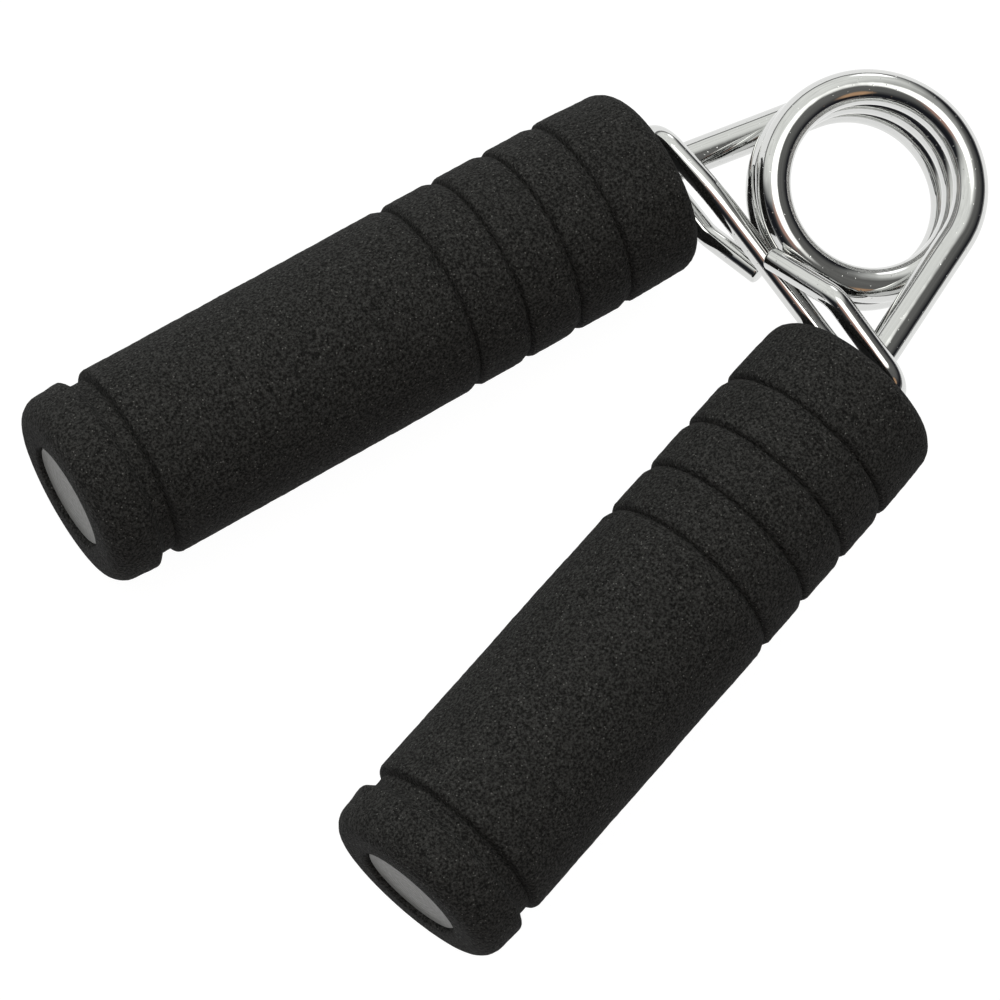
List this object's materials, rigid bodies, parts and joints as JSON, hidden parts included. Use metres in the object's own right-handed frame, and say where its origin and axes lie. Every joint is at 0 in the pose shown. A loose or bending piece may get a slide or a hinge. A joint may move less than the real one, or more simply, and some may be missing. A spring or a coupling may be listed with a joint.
{
  "type": "hand grip strengthener",
  "caption": "Hand grip strengthener: foam handles on the legs of a chromed torsion spring, kept from opening further by a wire link hooked round both legs.",
  "frame": {"origin": "centre of the spring's coil", "axes": "+Z along the coil's axis, +Y along the middle line between the handles towards the coil, +X towards the right handle, which is the one on the +Z side of the coil"},
  "size_m": [0.0968, 0.1325, 0.041],
  "materials": {
    "chrome_wire": "bright chrome plate on steel wire",
    "foam": "matte closed-cell foam with a fine open grain",
    "core_plastic": "moulded plastic",
    "plug_plastic": "pale grey moulded plastic, satin"
  },
  "bodies": {
    "left_handle": {"spring_half_left": "chrome_wire", "foam_grip_left": "foam", "core_tube_left": "core_plastic", "end_plug_left": "plug_plastic"},
    "right_handle": {"spring_half_right": "chrome_wire", "foam_grip_right": "foam", "core_tube_right": "core_plastic", "end_plug_right": "plug_plastic"},
    "limiter_link": {"limiter_link": "chrome_wire"}
  },
  "joints": [
    {"name": "squeeze", "type": "hinge", "parent": "left_handle", "child": "right_handle", "pos_m": [0, 0, 0], "axis": [0, 0, -1], "range_deg": [0, 22], "stiffness_Nm_per_rad": 28},
    {"name": "link_follow", "type": "hinge", "parent": "left_handle", "child": "limiter_link", "pos_m": [0, 0, 0], "axis": [0, 0, -1], "range_deg": [0, 11]}
  ],
  "couplings": [
    {"joint": "link_follow", "follows": "squeeze", "ratio": 0.5}
  ]
}
